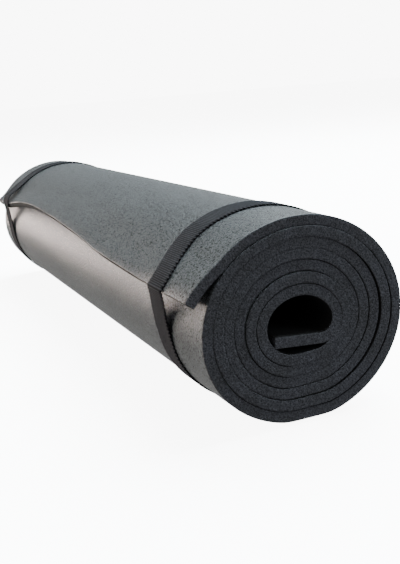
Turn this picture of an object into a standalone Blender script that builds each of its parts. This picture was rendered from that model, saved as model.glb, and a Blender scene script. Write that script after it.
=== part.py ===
"""Foam sleeping pad, rolled up and held by two elastic bands. Metres, +Z up, roll axis along Y."""

from math import atan2, cos, degrees, exp, radians, sin

import bmesh
import bpy
from mathutils import Matrix, Vector
from mathutils.geometry import convex_hull_2d

NAME = "foam_sleeping_pad"
MM = 0.001

PAD_WIDTH = 600 * MM
FOAM = 7.1 * MM
PITCH = 7.4 * MM  # radius lost in one turn: the foam and the air left between two turns
OUTER_RADIUS = 74 * MM
OVAL = 3.6 * MM  # added to the radius sideways and taken from it upwards
SETTLED = 1.5 * MM  # how far the roll's own weight flattens its underside
STEP = 12  # degrees between the section's points; 180 is one of them
SPIRAL_START = -62  # degrees clockwise from the top, seen from the near end
FIRST_STEP = -36
LAST_STEP = 6 * 360 + 108
TONGUE_BEND = 71.5  # degrees
BEND_LENGTH = 12 * MM
TONGUE_LENGTH = 33 * MM

FLAP_REACH = 24  # degrees over which the flap stands off the roll
AXIS_HEIGHT = 65.745 * MM
AXIS_X = 2.648 * MM

BAND_WIDTH = 25 * MM
BAND_THICKNESS = 1.4 * MM
BAND_GAP = 0.4 * MM
NEAR_BAND_Y = -PAD_WIDTH / 2 + 62 * MM
FAR_BAND_Y = PAD_WIDTH / 2 - 47 * MM
BAND_REACH = 110 * MM  # how far along the roll each band can be pushed inwards
NEAR_BOW = -13 * MM  # how far each band runs nearer the viewer where it folds over the flap
FAR_BOW = -6 * MM
BOW_ANGLE = -68  # degrees
BOW_SPREAD = 16  # degrees
SEAM_ANGLE = radians(128)
SEAM_LENGTH = 26 * MM
THREAD = 0.35 * MM

# Along the pad: distance from the near end, where round the roll the flap's edge is, its lift.
FLAP = (
    (0, -70.0, 7.6),
    (50, -70.0, 7.6),
    (76, -69.8, 5.8),
    (100, -69.6, 3.0),
    (128, -68.8, 1.2),
    (187, -67.4, 0.4),
    (257, -63.0, 0.4),
    (331, -60.2, 0.4),
    (372, -59.4, 0.6),
    (412, -58.9, 1.8),
    (448, -59.2, 5.5),
    (485, -61.2, 7.5),
    (515, -64.2, 7.5),
    (550, -67.8, 5.3),
    (600, -67.8, 5.3),
)


def clear_scene():
    for old in list(bpy.data.objects):
        bpy.data.objects.remove(old, do_unlink=True)


def collection(name):
    made = bpy.data.collections.new(name)
    bpy.context.scene.collection.children.link(made)
    return made


def material(name, colour, roughness):
    made = bpy.data.materials.new(name)
    made.use_nodes = True
    shader = made.node_tree.nodes["Principled BSDF"]
    shader.inputs["Base Color"].default_value = (*colour, 1)
    shader.inputs["Roughness"].default_value = roughness
    return made


def middle(turned, lift=0.0):
    """A point of the sheet's middle line, so many degrees clockwise from the top."""
    lowest = round((turned - 180) / 360) * 360 + 180
    at = lowest if abs(turned - lowest) <= STEP else turned
    radius = OUTER_RADIUS - FOAM / 2 - PITCH * (at - SPIRAL_START) / 360
    x = (radius + lift + OVAL) * sin(radians(turned))
    z = (radius + lift - OVAL) * cos(radians(turned))
    if at == lowest:
        z = -(radius - OVAL - SETTLED)
    return Vector((x, z))


def spiral(edge, lift):
    """The middle line of the sheet's section, from the flap's edge inwards."""
    head = [edge + (FIRST_STEP - edge) * i / 5 for i in range(5)]
    points = []
    for turned in head + list(range(FIRST_STEP, LAST_STEP + 1, STEP)):
        off = max(0.0, 1 - (turned - edge) / FLAP_REACH)
        points.append(middle(turned, lift * off**1.2))
    return points


def tongue(line):
    """The sheet's inner end: it bends off the core's wall and lies across the core."""
    heading = (line[-1] - line[-2]).normalized()
    spot, points = line[-1], []
    for i in range(1, 10):
        turned = radians(TONGUE_BEND) * min(1.0, i / 5)
        along = heading.copy()
        along.rotate(Matrix.Rotation(-turned, 2))
        spot = spot + along * (BEND_LENGTH / 5 if i < 6 else TONGUE_LENGTH / 4)
        points.append(spot)
    return points


def section(edge, lift):
    line = spiral(edge, lift)
    return line + tongue(line)


def sheet_sections():
    made = []
    for distance, edge, lift in FLAP:
        made.append((distance * MM - PAD_WIDTH / 2, section(edge, lift * MM)))
    return made


def mesh_object(name, mesh, group, look):
    made = bpy.data.objects.new(name, mesh)
    made.data.materials.append(look)
    group.objects.link(made)
    return made


def foam_sheet(group):
    """The middle surface of the rolled sheet, lofted between its sections and made solid."""
    build = bmesh.new()
    rows = []
    for y, line in sheet_sections():
        rows.append([build.verts.new((AXIS_X + p.x, y, AXIS_HEIGHT + p.y)) for p in line])
    for near, far in zip(rows, rows[1:]):
        for i in range(len(near) - 1):
            build.faces.new((near[i], near[i + 1], far[i + 1], far[i]))
    mesh = bpy.data.meshes.new("foam_sheet")
    build.to_mesh(mesh)
    build.free()
    made = mesh_object("foam_sheet", mesh, group, material("grey_foam", (0.22, 0.23, 0.23), 0.75))
    shell = made.modifiers.new("thickness", "SOLIDIFY")
    shell.thickness = FOAM
    shell.offset = 0
    shell.use_even_offset = True
    return made


def outline(first, last):
    """The hull round every section of the sheet between two places along the pad."""
    points = []
    for y, line in sheet_sections():
        if first - 60 * MM <= y <= last + 60 * MM:
            edge = (line[1] - line[0]).normalized() * FOAM / 2
            out = Vector((-edge.y, edge.x))
            points += [line[0] + out, line[0] - out]
            for before, point, after in zip(line, line[1:], line[2:]):
                along = (after - before).normalized()
                out = Vector((-along.y, along.x)) / cos(radians(STEP / 2))
                points.append(point + out * FOAM / 2)
    return [points[i] for i in convex_hull_2d(points)]


def split(points, longest):
    """The closed outline again, with no side longer than this."""
    made = []
    for start, end in zip(points, points[1:] + points[:1]):
        count = max(1, round((end - start).length / longest))
        made += [start.lerp(end, i / count) for i in range(count)]
    return made


def offset(points, distance):
    made = []
    for i, point in enumerate(points):
        along = (points[(i + 1) % len(points)] - points[i - 1]).normalized()
        normal = Vector((along.y, -along.x))
        if normal.dot(point) < 0:
            normal = -normal
        made.append(point + normal * distance)
    return made


def seam_share(point):
    """1 where the strip's two ends are sewn over each other, 0 elsewhere."""
    gap = abs((Vector((sin(SEAM_ANGLE), cos(SEAM_ANGLE))).angle(point.normalized())))
    return 1.0 if gap * point.length < SEAM_LENGTH / 2 else 0.0


def bowed(point, bow):
    angle = degrees(atan2(point.x, point.y))
    return bow * exp(-(((angle - BOW_ANGLE) / BOW_SPREAD) ** 2))


def band(name, group, middle, bow, first, last, look):
    """An elastic strip sewn into a loop: stretched round the flap, straight where it bridges."""
    inner = split(offset(outline(first, last), BAND_GAP), 6 * MM)
    outer = [
        p + (q - p) * (1 + seam_share(p))
        for p, q in zip(inner, offset(inner, BAND_THICKNESS))
    ]
    build = bmesh.new()
    loops = []
    for y, loop in ((-1, inner), (-1, outer), (1, outer), (1, inner)):
        loops.append([
            build.verts.new((p.x, y * BAND_WIDTH / 2 + bowed(p, bow), p.y)) for p in loop
        ])
    for one, two in zip(loops, loops[1:] + loops[:1]):
        for i in range(len(one)):
            j = (i + 1) % len(one)
            build.faces.new((one[i], one[j], two[j], two[i]))
    bmesh.ops.recalc_face_normals(build, faces=build.faces)
    mesh = bpy.data.meshes.new(name)
    build.to_mesh(mesh)
    build.free()
    made = mesh_object(name, mesh, group, look)
    made.location = (AXIS_X, middle, AXIS_HEIGHT)
    return made, outer


def stitching(name, group, parent, outer, look):
    """One zigzag thread over the sewn overlap of a band."""
    seam = [p for p in outer if seam_share(p)]
    middle = sum(seam, Vector((0, 0))) / len(seam)
    out = Vector((sin(SEAM_ANGLE), cos(SEAM_ANGLE)))
    along = Vector((out.y, -out.x))
    top = max(p.dot(out) for p in seam) + THREAD + 0.3 * MM
    curve = bpy.data.curves.new(name, "CURVE")
    curve.dimensions = "3D"
    curve.bevel_depth = THREAD
    curve.bevel_resolution = 1
    curve.use_fill_caps = True
    line = curve.splines.new("POLY")
    count = 13
    line.points.add(count - 1)
    for i, point in enumerate(line.points):
        spot = out * top + along * (middle.dot(along) + (i / (count - 1) - 0.5) * 14 * MM)
        side = (1 if i % 2 else -1) * 9 * MM
        point.co = (spot.x, side, spot.y, 1)
    made = bpy.data.objects.new(name, curve)
    curve.materials.append(look)
    group.objects.link(made)
    made.parent = parent
    return made


def main():
    clear_scene()
    group = collection(NAME)
    elastic = material("charcoal_elastic", (0.05, 0.05, 0.053), 0.85)
    thread = material("charcoal_thread", (0.04, 0.04, 0.042), 0.7)
    foam_sheet(group)
    near, near_outer = band(
        "near_elastic_band", group, NEAR_BAND_Y, NEAR_BOW,
        -PAD_WIDTH / 2, NEAR_BAND_Y + BAND_REACH, elastic,
    )
    far, far_outer = band(
        "far_elastic_band", group, FAR_BAND_Y, FAR_BOW,
        FAR_BAND_Y - BAND_REACH, PAD_WIDTH / 2, elastic,
    )
    stitching("near_band_stitching", group, near, near_outer, thread)
    stitching("far_band_stitching", group, far, far_outer, thread)


main()
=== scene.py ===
"""Foam sleeping pad, rolled up and held by two elastic bands: the detailed model on the CAD frame."""

from math import cos, pi, radians, sin

import bmesh
import bpy
import numpy as np
from mathutils import Matrix, Vector
from mathutils.geometry import convex_hull_2d

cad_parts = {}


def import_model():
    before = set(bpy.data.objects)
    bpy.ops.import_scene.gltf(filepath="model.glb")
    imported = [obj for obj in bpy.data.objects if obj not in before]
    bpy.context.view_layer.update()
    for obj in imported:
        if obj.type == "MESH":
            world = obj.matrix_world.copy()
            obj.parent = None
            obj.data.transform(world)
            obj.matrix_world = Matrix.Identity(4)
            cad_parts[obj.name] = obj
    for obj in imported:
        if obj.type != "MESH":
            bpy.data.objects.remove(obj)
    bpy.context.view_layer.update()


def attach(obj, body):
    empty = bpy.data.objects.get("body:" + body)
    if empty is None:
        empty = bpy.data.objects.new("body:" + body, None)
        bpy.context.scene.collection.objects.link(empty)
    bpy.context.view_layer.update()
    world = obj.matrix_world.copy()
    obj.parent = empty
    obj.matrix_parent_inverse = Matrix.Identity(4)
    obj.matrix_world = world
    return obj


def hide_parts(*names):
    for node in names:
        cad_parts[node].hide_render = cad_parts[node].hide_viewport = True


MM = 0.001

# Sizes are in millimetres, angles in degrees clockwise from the top, seen from the near end.
# "Distance" is measured along the pad from the near end.

# The sheet, close to the CAD's and a little thicker, so that its turns lie nearly touching
WIDTH = 600.0
FOAM = 7.25
PITCH = 7.4  # radius lost in one turn
OUTER_RADIUS = 74.0
OVAL = 3.6  # added to the radius sideways and taken from it upwards
SETTLED = 1.5  # how far the roll's own weight flattens its underside
SETTLED_EASE = 0.5
SPIRAL_START = -62.0
LAST_DEGREES = 6 * 360 + 113
TONGUE_BEND = 62.5
BEND_LENGTH = 12.0
TONGUE_LENGTH = 33.2
AXIS = (2.648, 65.745)

# Distance, where round the roll the flap's edge is, and its lift. The CAD's flap has nearly the
# same edge, but lies closer to the roll along the middle.
FLAP = np.array((
    (0, -70.0, 7.6),
    (50, -70.0, 7.6),
    (76, -69.8, 6.8),
    (100, -69.6, 7.0),
    (128, -68.9, 7.1),
    (187, -67.5, 6.8),
    (257, -63.3, 6.3),
    (292, -62.0, 6.3),
    (331, -60.5, 6.3),
    (372, -59.6, 6.3),
    (412, -58.9, 6.5),
    (448, -59.2, 6.9),
    (485, -61.2, 7.5),
    (515, -64.2, 7.5),
    (544, -67.5, 5.6),
    (570, -68.0, 5.2),
    (600, -68.0, 5.6),
))
FLAP_EASE = 18.0  # the flap's edge is averaged over this much to each side
CORNER_REACH = 24.0  # degrees over which the free near corner stands off the roll
CORNER_POWER = 0.8
CORNER_END = (110, 60)
BAND_CURL = (0.6, (70, 100), (260, 200))  # share, where it comes and where it goes
FAR_CURL = (400, 460)
CURL_REACH = 5.0
CURL_POWER = 0.5

# Air left between two turns
LEAST_GAP = 0.12
LOOSE_EASE = 20.0
LOOSE_PLACES = (  # amount, radii over which it opens, first and last degrees
    (0.42, (50, 44), (205, 385)),
    (0.42, (42, 47), (50, 205)),
    (0.5, (56, 61), (60, 165)),
)

# How the hand-rolled spiral differs from an even one
WAVES = ((0.16, 2, 1.1, 900), (0.12, 3, 2.7, -700), (0.08, 5, 0.0, 600))  # height, count, phase, length
DRIFT = (-0.82, 1.63, -2.03, 0.92)  # of the middle turns: all round, upwards, to the right, as an oval
DRIFT_RADII = (15, 72)
CREEP = ((0.45, 2.1, 0.4), (0.3, 5.3, 0.0))  # height, radians in a turn, phase
CREEP_TURNS = 5.6

# The foam's mesh
FINE_UNTIL = 330.0  # degrees: the outermost turn, which is the one that shows
OUTER_POINTS = 235
INNER_POINTS = 430
BEND_POINTS = 12
TONGUE_POINTS = 24
END_STATIONS = ((0.0, 0.28), (0.07, 0.09), (0.28, 0.0), (2.0, 0.0), (6.0, 0.0))
MIDDLE_START = 14.0
MIDDLE_STATIONS = 54
EDGE_ROUND = ((0.0, 0.55), (0.16, 0.16), (0.55, 0.0))  # in from the edge, taken off each side
ROUND_ROWS = 2
CAP_CUTS = 6
CUT_UNEVEN = 0.045
CUT_SEED = 4

# The elastic bands
BAND_WIDTH = 25.0
BAND_THICKNESS = 1.2
BAND_GAP = 0.14
NEAR_BAND = 62.0
FAR_BAND = 553.0
NEAR_BOW = -13.0  # how much nearer the front a band runs where it folds over the flap
FAR_BOW = -6.0
BOW_DEGREES = -68.0
BOW_SPREAD = 16.0
TRAVEL_IN = 110.0
OUTLINE_STEP = 10.0
OUTLINE_POINTS = 400  # about the three outermost turns
NORMAL_SPAN = 3
SEAM_DEGREES = 128.0
SEAM_LENGTH = 26.0
SEAM_EASE = 0.35
SEAM_LAYERS = 0.9  # what the sewn overlap adds, in thicknesses
RIB = 1.45
RIB_STEPS = 5
RIB_DEPTH = 0.26
TOOTH = 1.2
CORD_SPACING = 3.1  # between the fine cords that run along the elastic
CORD_RISE = 0.05
EDGE_ZONE = 1.0
BAND_ROUND = ((0.0, 0.35), (0.12, 0.7), (0.45, 0.95))  # in from the edge, share of the height
BAND_TOP_START = 1.2
BAND_TOP_POINTS = 12
BAND_FOOT = 0.4

# The seams' thread
THREAD_RADIUS = 0.3
THREAD_RISE = 0.1
STITCHES = 9
STITCH_REACH = 9.0
STITCH_MARGIN = 0.15
STITCH_SHAPE = ((-1.0, -0.1), (-0.85, 0.12), (0.85, 0.12), (1.0, -0.1))  # share across, rise

# The studio, in metres, watts and degrees
PALE = (0.9, 0.9, 0.9)
FLOOR_HALF = 30.0
FLOOR_DROP = 0.0005
FLOOR_GLOW = 8.0
WALL_SIDES = 48
WALL_RADIUS = 12
WALL_BOTTOM_TOP = (-0.1, 9.0)
WALL_GLOW = 8.5
WORLD_STRENGTH = 0.5
LIGHTS = (  # name, place, target, width, height, power, colour
    ("left_light", (-1.6, 0.5, 0.12), (0, 0.0, 0.06), 1.0, 0.22, 66, (1.0, 0.90, 0.82)),
    ("back_light", (-1.2, 2.5, 0.10), (-0.05, 0.1, 0.06), 1.3, 0.18, 46, (1.0, 0.84, 0.77)),
    ("right_light", (0.6, -0.8, 0.2), (0.05, -0.3, 0.06), 0.4, 0.4, 2.2, (0.80, 0.90, 1.0)),
    ("top_light", (1.0, 0.4, 2.0), (0, 0.1, 0.07), 2.2, 2.2, 345, (0.85, 0.95, 1.0)),
)
CAMERA_PLACE = (-0.2493, -0.7353, 0.2208)
CAMERA_YAW, CAMERA_PITCH, CAMERA_ROLL = 22.85, -13.77, -4.83
CAMERA_LENS = 52.9149  # millimetres, like the sensor
CAMERA_SENSOR = 36
CAMERA_CLIP = 0.01


# ---------------------------------------------------------------- the rolled sheet's section


def eased(value, start, end):
    """0 up to the start, 1 from the end on and a straight slope between; either may be larger."""
    return np.clip((value - start) / (end - start), 0, 1)


def flap_at(distance):
    """(where the flap's edge is, its lift) at a distance from the near end."""
    near = distance + np.linspace(-FLAP_EASE, FLAP_EASE, 9)
    edge = np.interp(near, FLAP[:, 0], FLAP[:, 1]).mean()
    lift = np.interp(near, FLAP[:, 0], FLAP[:, 2]).mean()
    return edge, lift


def lifted(degrees, edge, lift, distance):
    """How far the flap stands off the roll: flat where it is free, curling at its corners."""
    corner = eased(distance, *CORNER_END)
    share, comes, goes = BAND_CURL
    by_band = share * eased(distance, *comes) * eased(distance, *goes)
    curl = eased(distance, *FAR_CURL) + by_band
    flat = np.degrees(np.sqrt(2 * lift / OUTER_RADIUS))
    reach = flat + (CORNER_REACH - flat) * corner - CURL_REACH * curl
    power = 2 - CORNER_POWER * corner + CURL_POWER * curl
    return lift * np.clip(1 - (degrees - edge) / reach, 0, None) ** power


def window(degrees, low, high):
    """1 between two angles round the roll, easing to 0 beyond them."""
    off = np.abs((degrees - (low + high) / 2 + 180) % 360 - 180) - (high - low) / 2
    return np.clip(1 - off / LOOSE_EASE, 0, 1)


def gap(radius, degrees):
    """The air between two turns: open left and above in the inner turns, right and below in the outer."""
    air = LEAST_GAP
    for amount, radii, angles in LOOSE_PLACES:
        air = air + amount * (eased(radius, *radii) * window(degrees, *angles))
    return air


def uneven(degrees, distance):
    """The small waves of a hand-rolled pad, the same for every turn."""
    a = np.radians(degrees)
    return sum(
        height * np.sin(count * a + phase + distance / length)
        for height, count, phase, length in WAVES
    )


def turn_radius(degrees, distance):
    """The sheet's outer side: tighter turns at the top left, looser at the right and below."""
    radius = OUTER_RADIUS - PITCH * (degrees - SPIRAL_START) / 360
    a = np.radians(degrees)
    even, up, right, oval = DRIFT
    shift = even + up * np.cos(a) + right * np.sin(a) + oval * np.cos(2 * a)
    depth = np.sin(eased(radius, *DRIFT_RADII) * pi)
    return radius + shift * depth + uneven(degrees, distance)


def placed(radius, degrees):
    """The point of the oval section at a radius, with the underside settled flat."""
    a = np.radians(degrees)
    x = (radius + OVAL) * np.sin(a)
    z = (radius - OVAL) * np.cos(a)
    lowest = -(radius - OVAL - SETTLED)
    above = np.logaddexp(0, (z - lowest) / SETTLED_EASE) * SETTLED_EASE
    return np.stack([x, np.where(z < 0, lowest + above, z)], axis=1)


def wall(degrees, lift, distance):
    """(middle line, half thickness) of the rolled part of the sheet."""
    outer = turn_radius(degrees, distance)
    under = turn_radius(degrees + 360, distance)
    under = under + gap(under, degrees)
    last = degrees + 360 > LAST_DEGREES
    inner = np.maximum(np.where(last, outer - FOAM, under), outer - FOAM)
    out, into = placed(outer + lift, degrees), placed(inner + lift, degrees)
    return (out + into) / 2, np.linalg.norm(out - into, axis=1) / 2


def line_degrees(edge):
    """The angles of the section's points, from the flap's edge inwards."""
    outer = np.linspace(edge, FINE_UNTIL, OUTER_POINTS)
    inner = np.linspace(FINE_UNTIL, LAST_DEGREES, INNER_POINTS)[1:]
    return np.concatenate([outer, inner])


def tongue(line):
    """The sheet's inner end: it bends off the core's wall and lies across the core."""
    heading = line[-1] - line[-2]
    start = np.arctan2(heading[1], heading[0])
    bend = np.full(BEND_POINTS, BEND_LENGTH / BEND_POINTS)
    straight = np.full(TONGUE_POINTS, TONGUE_LENGTH / TONGUE_POINTS)
    lengths = np.concatenate([bend, straight])
    done = np.cumsum(lengths)
    turned = np.radians(TONGUE_BEND) * np.clip((done - lengths / 2) / BEND_LENGTH, 0, 1)
    way = start - turned
    steps = np.stack([np.cos(way), np.sin(way)], axis=1) * lengths[:, None]
    return line[-1] + np.cumsum(steps, axis=0)


def trimmed(line, cut, at_start):
    """The line with its first or last points moved to the given distances from its end."""
    if not at_start:
        return trimmed(line[::-1], cut, True)[::-1]
    along = line[len(cut)] - line[0]
    along = along / np.linalg.norm(along)
    made = line.copy()
    for i, distance in enumerate(cut):
        made[i] = line[0] + along * distance
    return made


def section(distance, inset=0.0):
    """(middle line, unit normals, half thickness) of the sheet at a distance along the pad."""
    edge, lift = flap_at(distance)
    degrees = line_degrees(edge)
    line, half = wall(degrees, lifted(degrees, edge, lift, distance), distance)
    inner_end = tongue(line)
    line = np.concatenate([line, inner_end])
    half = np.concatenate([half, np.full(len(inner_end), FOAM / 2)]) - inset
    cuts = [c + inset for c, _ in EDGE_ROUND]
    line = trimmed(trimmed(line, cuts, True), cuts, False)
    along = np.gradient(line, axis=0)
    along /= np.linalg.norm(along, axis=1)[:, None]
    normal = np.stack([-along[:, 1], along[:, 0]], axis=1)
    for i, (_, down) in enumerate(EDGE_ROUND):
        half[i] -= down
        half[-1 - i] -= down
    return line, normal, half


# ---------------------------------------------------------------- meshes


def new_object(name, data, *looks):
    made = bpy.data.objects.new(name, data)
    bpy.context.scene.collection.objects.link(made)
    for look in looks:
        data.materials.append(look)
    return made


def grid_faces(first, second):
    """Quads between two equally long rows of vertex numbers."""
    a, b = np.asarray(first), np.asarray(second)
    return np.stack([a[:-1], a[1:], b[1:], b[:-1]], axis=1)


def make_mesh(name, points, groups):
    """A smooth mesh from points in millimetres and (faces, material number) groups."""
    faces = np.concatenate([g for g, _ in groups])
    marks = np.concatenate([np.full(len(g), m) for g, m in groups])
    mesh = bpy.data.meshes.new(name)
    mesh.from_pydata((points * MM).tolist(), [], faces.tolist())
    mesh.polygons.foreach_set("material_index", marks.astype(np.int32))
    mesh.polygons.foreach_set("use_smooth", np.ones(len(faces), bool))
    mesh.update()
    return mesh


def right_way_out(mesh):
    """Turns every face of a closed mesh to look outwards."""
    build = bmesh.new()
    build.from_mesh(mesh)
    bmesh.ops.recalc_face_normals(build, faces=build.faces)
    build.to_mesh(mesh)
    build.free()


def on_frame(points, y):
    """Section points, at places along the roll, as points of the CAD frame."""
    return np.stack([points[:, 0] + AXIS[0], y, points[:, 1] + AXIS[1]], axis=1)


def stations():
    """(distance, inset of the cut edge's rounding) of each section."""
    middle_part = [(d, 0.0) for d in np.linspace(MIDDLE_START, WIDTH - MIDDLE_START, MIDDLE_STATIONS)]
    far_end = [(WIDTH - d, inset) for d, inset in reversed(END_STATIONS)]
    return [*END_STATIONS, *middle_part, *far_end]


def telescoped(distance, count):
    """How far each point of the sheet has crept along the roll, most at the ends."""
    turn = np.linspace(0, CREEP_TURNS, count)
    creep = sum(size * np.sin(turn * rate + phase) for size, rate, phase in CREEP)
    return creep * (1 if distance < WIDTH / 2 else -1) * abs(distance / WIDTH * 2 - 1)


def skins():
    """The points of both skins, and each station's (outer, inner) rows of vertex numbers."""
    points, rows, count = [], [], 0
    for distance, inset in stations():
        line, normal, half = section(distance, inset)
        n = len(line)
        y = distance - WIDTH / 2 + telescoped(distance, n)
        for side in (1, -1):
            points.append(on_frame(line + normal * half[:, None] * side, y))
        rows.append((np.arange(count, count + n), np.arange(count + n, count + 2 * n)))
        count += 2 * n
    return points, rows


def end_cap(points, outer, inner, rng):
    """Rows of vertex numbers over a cut end; the new points, a little uneven, join the list."""
    base = np.concatenate(points)
    count = len(base)
    rows = [outer]
    for k in range(1, CAP_CUTS):
        share = k / CAP_CUTS
        new = base[outer] * (1 - share) + base[inner] * share
        new[:, 1] += rng.normal(0, CUT_UNEVEN, len(new))
        points.append(new)
        rows.append(np.arange(count, count + len(new)))
        count += len(new)
    return rows + [inner]


def foam_mesh():
    """The rolled sheet as one closed mesh: skin, cut faces, underside and the flap's edge."""
    points, rows = skins()
    skin, cut, under, edge = [], [], [], []
    for k, ((o1, i1), (o2, i2)) in enumerate(zip(rows, rows[1:])):
        rounded = k < ROUND_ROWS or k >= len(rows) - 1 - ROUND_ROWS
        (cut if rounded else skin).append(grid_faces(o1, o2))
        (cut if rounded else under).append(grid_faces(i2, i1))
        edge.append(grid_faces((i1[0], o1[0]), (i2[0], o2[0])))
        cut.append(grid_faces((i2[-1], o2[-1]), (i1[-1], o1[-1])))
    rng = np.random.default_rng(CUT_SEED)
    for (outer, inner), flip in ((rows[0], False), (rows[-1], True)):
        lines = end_cap(points, outer, inner, rng)
        for a, b in zip(lines, lines[1:]):
            cut.append(grid_faces(b, a) if flip else grid_faces(a, b))
    groups = [(np.concatenate(faces), k) for k, faces in enumerate((skin, cut, under, edge))]
    return make_mesh("foam_pad", np.concatenate(points), groups)


def outline(first, last):
    """The hull round every section of the sheet between two distances along the pad."""
    points = []
    for distance in np.arange(max(0, first), min(WIDTH, last) + 1, OUTLINE_STEP):
        line, normal, half = (values[:OUTLINE_POINTS] for values in section(distance))
        for side in (1, -1):
            points.append(line + normal * half[:, None] * side)
    points = [Vector(p) for p in np.concatenate(points)]
    return np.array([points[i] for i in convex_hull_2d(points)])


def resampled(points, step):
    """The closed outline again, evenly spaced, with an even number of ribs."""
    closed = np.concatenate([points, points[:1]])
    lengths = np.concatenate([[0], np.cumsum(np.linalg.norm(np.diff(closed, axis=0), axis=1))])
    count = int(round(lengths[-1] / step / (2 * RIB_STEPS))) * 2 * RIB_STEPS
    at = np.linspace(0, lengths[-1], count, endpoint=False)
    return np.stack([np.interp(at, lengths, closed[:, k]) for k in (0, 1)], axis=1)


def outward(points):
    """Unit normals of a closed outline, smoothed over its folds."""
    along = np.roll(points, -NORMAL_SPAN, axis=0) - np.roll(points, NORMAL_SPAN, axis=0)
    along /= np.linalg.norm(along, axis=1)[:, None]
    normal = np.stack([along[:, 1], -along[:, 0]], axis=1)
    inward = (normal * points).sum() < 0
    return -normal if inward else normal


def turned(points):
    """The angle of each section point, in degrees clockwise from the top."""
    return np.degrees(np.arctan2(points[:, 0], points[:, 1]))


def band_path(first, last):
    """(points of the band's inner side, normals, share of the seam's second layer)."""
    points = resampled(outline(first, last), RIB / RIB_STEPS)
    normal = outward(points)
    points = points + normal * BAND_GAP
    off = np.abs(turned(points) - SEAM_DEGREES) * np.linalg.norm(points, axis=1) * pi / 180
    seam = np.clip((SEAM_LENGTH / 2 - off) / SEAM_EASE, 0, 1)
    return points, normal, seam


def bowed(points, bow):
    """How far a band is drawn along the roll where it folds over the flap's edge."""
    return bow * np.exp(-(((turned(points) - BOW_DEGREES) / BOW_SPREAD) ** 2))


def band_profile():
    """(place across the band, share of its height) round the strip's own section."""
    half = BAND_WIDTH / 2
    top = np.linspace(-half + BAND_TOP_START, half - BAND_TOP_START, BAND_TOP_POINTS)
    return [
        *((-half + d, h) for d, h in BAND_ROUND),
        *((w, 1.0) for w in top),
        *((half - d, h) for d, h in reversed(BAND_ROUND)),
        (half - BAND_FOOT, 0.0), (0.0, 0.0), (-half + BAND_FOOT, 0.0),
    ]


def band_mesh(name, distance, bow, path):
    """A woven elastic strip with raised ribs across it and toothed edges."""
    points, normal, seam = path
    n = len(points)
    rib = 0.5 + 0.5 * np.cos(2 * pi * np.arange(n) / RIB_STEPS)
    tooth = 0.5 + 0.5 * np.cos(pi * np.arange(n) / RIB_STEPS)
    thickness = BAND_THICKNESS * (1 + seam * SEAM_LAYERS) - RIB_DEPTH * (1 - rib)
    profile = band_profile()
    loops, verts = [], []
    for k, (w, h) in enumerate(profile):
        at_edge = abs(w) > BAND_WIDTH / 2 - EDGE_ZONE
        cord = 0.0 if at_edge else CORD_RISE * np.cos(2 * pi * w / CORD_SPACING)
        wide = w + (np.sign(w) * (tooth - 1) * TOOTH if at_edge else 0.0)
        spots = points + normal * (h * (thickness + cord))[:, None]
        verts.append(on_frame(spots, distance - WIDTH / 2 + bowed(points, bow) + wide))
        ring = np.arange(k * n, (k + 1) * n)
        loops.append(np.append(ring, ring[0]))
    quads = [grid_faces(a, b) for a, b in zip(loops, loops[1:] + loops[:1])]
    mesh = make_mesh(name, np.concatenate(verts), [(np.concatenate(quads), 0)])
    mesh.attributes.new("rib", "FLOAT", "POINT").data.foreach_set(
        "value", np.tile(rib, len(profile)).astype(np.float32)
    )
    return mesh


def zigzag(distance, path):
    """The thread's points, in metres: each stitch crosses the band and dips in at both ends."""
    points, normal, seam = path
    inside = np.flatnonzero(seam >= 1)
    inside = inside[np.argsort(turned(points[inside]))]
    top = BAND_THICKNESS * (1 + SEAM_LAYERS) + THREAD_RISE
    margin = int(len(inside) * STITCH_MARGIN)
    spots = []
    for i in range(STITCHES):
        at = inside[margin + int((len(inside) - 1 - 2 * margin) * i / (STITCHES - 1))]
        side = (1 if i % 2 else -1) * STITCH_REACH
        for share, rise in STITCH_SHAPE:
            x, z = points[at] + normal[at] * (top + rise) + AXIS
            spots.append(Vector((x, distance - WIDTH / 2 + side * share, z)) * MM)
    return spots


def thread_curve(name, distance, path):
    """A zigzag of thread over the sewn overlap of a band."""
    curve = bpy.data.curves.new(name, "CURVE")
    curve.dimensions = "3D"
    curve.bevel_depth = THREAD_RADIUS * MM
    curve.bevel_resolution = 2
    curve.use_fill_caps = True
    spots = zigzag(distance, path)
    line = curve.splines.new("POLY")
    line.points.add(len(spots) - 1)
    for point, spot in zip(line.points, spots):
        point.co = (*spot, 1)
    return curve


# ---------------------------------------------------------------- materials


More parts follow.
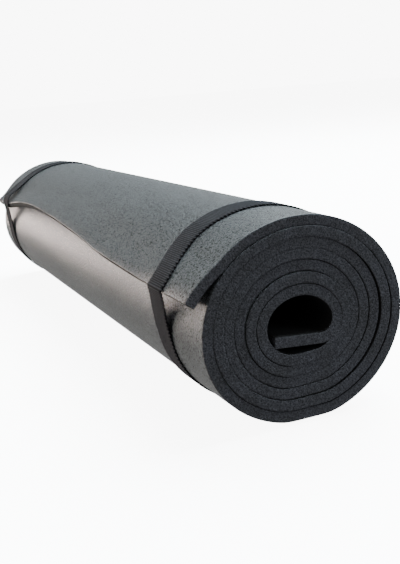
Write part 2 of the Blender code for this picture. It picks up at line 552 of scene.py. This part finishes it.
class Nodes:
    """Short calls for building a material's node tree."""

    def __init__(self, name, colour, roughness, specular=0.5):
        self.look = bpy.data.materials.new(name)
        self.look.use_nodes = True
        self.tree = self.look.node_tree
        self.shader = self.tree.nodes["Principled BSDF"]
        self.shader.inputs["Base Color"].default_value = (*colour, 1)
        self.shader.inputs["Roughness"].default_value = roughness
        self.shader.inputs["Specular IOR Level"].default_value = specular
        self.place = self.add("ShaderNodeTexCoord").outputs["Object"]

    def plug(self, socket, value):
        if isinstance(value, bpy.types.NodeSocket):
            self.tree.links.new(value, socket)
        else:
            socket.default_value = value

    def add(self, kind, **inputs):
        node = self.tree.nodes.new(kind)
        for key, value in inputs.items():
            self.plug(node.inputs[key], value)
        return node

    def noise(self, scale, detail=2.0, rough=0.5):
        node = self.add("ShaderNodeTexNoise", Vector=self.place, Scale=scale, Detail=detail)
        node.inputs["Roughness"].default_value = rough
        return node.outputs["Fac"]

    def cells(self, scale):
        node = self.add("ShaderNodeTexVoronoi", Vector=self.place, Scale=scale)
        return node.outputs["Distance"]

    def ramp(self, fac, *stops):
        node = self.add("ShaderNodeValToRGB", Fac=fac)
        for element, (position, colour) in zip(node.color_ramp.elements, stops):
            element.position = position
            element.color = (*colour, 1)
        return node.outputs["Color"]

    def multiply(self, fac, first, second):
        node = self.tree.nodes.new("ShaderNodeMix")
        node.data_type = "RGBA"
        node.blend_type = "MULTIPLY"
        for k, value in ((0, fac), (6, first), (7, second)):
            self.plug(node.inputs[k], value)
        return node.outputs[2]

    def negative(self, value):
        node = self.tree.nodes.new("ShaderNodeMath")
        node.operation = "MULTIPLY"
        self.plug(node.inputs[0], value)
        node.inputs[1].default_value = -1.0
        return node.outputs[0]

    def bump(self, height, distance, strength=1.0, under=None):
        node = self.add("ShaderNodeBump", Height=height, Distance=distance, Strength=strength)
        if under:
            self.tree.links.new(under, node.inputs["Normal"])
        return node.outputs["Normal"]

    def finish(self, colour=None, rough=None, normal=None):
        for socket, value in (("Base Color", colour), ("Roughness", rough), ("Normal", normal)):
            if value is not None:
                self.tree.links.new(value, self.shader.inputs[socket])
        return self.look


def grey(value):
    return (value, value, value)


def foam_skin():
    """Pebbled closed-cell skin, faintly cloudy grey: own grain, painted highlight on grains, painted
    shade in pits.
    """
    m = Nodes("foam_skin", grey(0.05), 0.6, 0.12)
    pebble = m.cells(780)
    coarse = m.noise(850, 3.0, 0.7)
    fine = m.noise(1700, 3.0, 0.65)
    cloud = m.noise(14, 2.0, 0.5)
    tone = m.ramp(cloud, (0.3, (0.0268, 0.0298, 0.0310)), (0.7, (0.0300, 0.0333, 0.0346)))
    # The grain ramps below are partly the skin's own grain and partly painted: highlight on raised
    # grains, shade in pits.
    tone = m.multiply(1.0, tone, m.ramp(pebble, (0.12, grey(1.3)), (0.72, grey(0.7))))
    tone = m.multiply(1.0, tone, m.ramp(coarse, (0.41, grey(0.24)), (0.60, grey(2.15))))
    tone = m.multiply(1.0, tone, m.ramp(fine, (0.35, grey(0.55)), (0.65, grey(1.5))))
    rough = m.ramp(coarse, (0.40, grey(0.27)), (0.60, grey(0.38)))
    normal = m.bump(m.negative(pebble), 0.0003, 0.5)
    normal = m.bump(coarse, 0.0004, 0.6, normal)
    normal = m.bump(fine, 0.0001, 0.6, normal)
    return m.finish(tone, rough, normal)


def foam_cut():
    """The knife-cut face of the foam: matt, with open cells."""
    m = Nodes("foam_cut", grey(0.06), 0.9, 0.2)
    cell = m.cells(900)
    fine = m.noise(1100, 3.0, 0.7)
    cloud = m.noise(45, 4.0, 0.6)
    tone = m.ramp(cloud, (0.3, (0.0290, 0.0298, 0.0325)), (0.7, (0.0365, 0.0378, 0.0440)))
    tone = m.multiply(1.0, tone, m.ramp(cell, (0.1, grey(0.5)), (0.65, grey(1.45))))
    tone = m.multiply(1.0, tone, m.ramp(fine, (0.34, grey(0.5)), (0.64, grey(1.5))))
    normal = m.bump(cell, 0.0004, 1.0)
    normal = m.bump(fine, 0.0003, 0.9, normal)
    return m.finish(tone, None, normal)


def underside_painted_shade():
    """The sheet's other side, seen only in the core and under the flap: charcoal, painted near black as
    shade.
    """
    m = Nodes("underside_painted_shade", grey(0.02), 0.9, 0.2)
    grain = m.noise(1300, 3.0, 0.65)
    # near black: painted shade for the deep core and the gap under the flap
    tone = m.ramp(grain, (0.33, grey(0.004)), (0.66, grey(0.010)))
    return m.finish(tone, None, m.bump(grain, 0.0002, 0.9))


def flap_edge_painted_shade():
    """The flap's long edge: darker than the fresh cut, as painted shade on this downward-facing edge."""
    m = Nodes("flap_edge_painted_shade", grey(0.02), 0.9, 0.1)
    grain = m.noise(1100, 3.0, 0.7)
    # painted shade: under half the cut's tone, so the lit edge shows mid-grey
    tone = m.ramp(grain, (0.34, (0.0085, 0.0092, 0.0092)), (0.64, (0.0185, 0.0200, 0.0200)))
    return m.finish(tone, None, m.bump(grain, 0.0003, 0.9))


def elastic():
    """Charcoal woven elastic: fuzzy yarn, painted shade between ribs and highlight on them, paler where
    it has rubbed.
    """
    m = Nodes("charcoal_elastic", grey(0.05), 0.85, 0.02)
    yarn = m.noise(1900, 4.0, 0.7)
    wear = m.noise(35, 3.0)
    rib = m.add("ShaderNodeAttribute")
    rib.attribute_name = "rib"
    # painted shade in the hollows between the ribs and painted highlight on the rib tops
    shade = m.ramp(rib.outputs["Fac"], (0.1, grey(0.35)), (0.9, grey(1.55)))
    tone = m.ramp(yarn, (0.3, (0.0078, 0.0082, 0.0090)), (0.72, (0.0245, 0.0255, 0.0285)))
    tone = m.multiply(0.7, tone, m.ramp(wear, (0.3, grey(0.75)), (0.7, grey(1.2))))
    tone = m.multiply(1.0, tone, shade)
    return m.finish(tone, None, m.bump(yarn, 0.0002, 0.8))


def thread():
    """Charcoal thread, lightly twisted, a shade paler than the elastic."""
    m = Nodes("charcoal_thread", grey(0.05), 0.6, 0.2)
    twist = m.noise(2400, 2.0)
    tone = m.ramp(twist, (0.35, grey(0.015)), (0.65, grey(0.045)))
    return m.finish(tone, None, m.bump(twist, 0.0001, 0.8))


# ---------------------------------------------------------------- stage


def glowing(name, strength):
    """A pale matt look that glows enough to show near white."""
    m = Nodes(name, PALE, 0.9)
    m.shader.inputs["Emission Color"].default_value = (1, 1, 1, 1)
    m.shader.inputs["Emission Strength"].default_value = strength
    return m.finish(m.ramp(m.noise(3.0), (0.3, tuple(c * 0.99 for c in PALE)), (0.7, PALE)))


def floor():
    """A wide pale floor just under the roll, which doesn't throw its glow back on it."""
    s = FLOOR_HALF
    mesh = bpy.data.meshes.new("floor")
    mesh.from_pydata([(-s, -s, 0), (s, -s, 0), (s, s, 0), (-s, s, 0)], [], [(0, 1, 2, 3)])
    made = new_object("floor", mesh, glowing("pale_floor", FLOOR_GLOW))
    made.location = (0, 0, -FLOOR_DROP)
    made.visible_diffuse = False
    made.visible_glossy = False


def backdrop():
    """A pale wall all round, which doesn't light the roll either."""
    n = WALL_SIDES
    around = [radians(360 / n * i) for i in range(n)]
    ring = [(WALL_RADIUS * cos(a), WALL_RADIUS * sin(a), z) for z in WALL_BOTTOM_TOP for a in around]
    faces = [(i, i + n, (i + 1) % n + n, (i + 1) % n) for i in range(n)]
    mesh = bpy.data.meshes.new("backdrop")
    mesh.from_pydata(ring, [], faces)
    made = new_object("backdrop", mesh, glowing("lit_wall", WALL_GLOW))
    made.visible_diffuse = False
    made.visible_glossy = False
    made.visible_shadow = False


def softbox(name, place, target, width, height, watts, colour):
    data = bpy.data.lights.new(name, "AREA")
    data.shape = "RECTANGLE"
    data.size, data.size_y = width, height
    data.energy = watts
    data.color = colour
    made = new_object(name, data)
    made.location = place
    way = Vector(target) - Vector(place)
    made.rotation_euler = way.to_track_quat("-Z", "Y").to_euler()


def lights():
    """An even pale world, warm lights low at the left, a cool one above and a weak one at the right."""
    world = bpy.data.worlds.new("studio")
    world.use_nodes = True
    world.node_tree.nodes["Background"].inputs["Color"].default_value = (1, 1, 1, 1)
    world.node_tree.nodes["Background"].inputs["Strength"].default_value = WORLD_STRENGTH
    bpy.context.scene.world = world
    for light in LIGHTS:
        softbox(*light)


def camera():
    """At the left of the near end, a little above the roll, looking along it."""
    yaw, pitch, roll = radians(CAMERA_YAW), radians(CAMERA_PITCH), radians(CAMERA_ROLL)
    ahead = Vector((sin(yaw) * cos(pitch), cos(yaw) * cos(pitch), sin(pitch)))
    right = Vector((cos(yaw), -sin(yaw), 0))
    up = right.cross(ahead)
    side = right * cos(roll) + up * sin(roll)
    top = up * cos(roll) - right * sin(roll)
    data = bpy.data.cameras.new("camera")
    data.lens = CAMERA_LENS
    data.sensor_width = CAMERA_SENSOR
    data.clip_start = CAMERA_CLIP
    made = new_object("camera", data)
    turn = Matrix((side, top, -ahead)).transposed()
    made.matrix_world = Matrix.Translation(CAMERA_PLACE) @ turn.to_4x4()
    bpy.context.scene.camera = made


# ---------------------------------------------------------------- the pad and its bands


def pad():
    looks = (foam_skin(), foam_cut(), underside_painted_shade(), flap_edge_painted_shade())
    foam = new_object("foam_pad", foam_mesh(), *looks)
    right_way_out(foam.data)
    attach(foam, "pad")
    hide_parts("foam_sheet")


def bands():
    """Each band's loop clears every part of the roll that it can slide over."""
    woven, sewn = elastic(), thread()
    places = (
        ("near", NEAR_BAND, NEAR_BOW, 0.0, NEAR_BAND + TRAVEL_IN),
        ("far", FAR_BAND, FAR_BOW, FAR_BAND - TRAVEL_IN, WIDTH),
    )
    for side, distance, bow, first, last in places:
        path = band_path(first, last)
        band = new_object(f"{side}_band", band_mesh(f"{side}_band", distance, bow, path), woven)
        right_way_out(band.data)
        name = f"{side}_band_thread"
        stitches = new_object(name, thread_curve(name, distance, path), sewn)
        for piece, node, slot in (
            (band, f"{side}_elastic_band", "charcoal_elastic"),
            (stitches, f"{side}_band_stitching", "charcoal_thread"),
        ):
            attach(piece, f"{side}_band")
            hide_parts(node)


def main():
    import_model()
    camera()
    lights()
    floor()
    backdrop()
    pad()
    bands()


main()
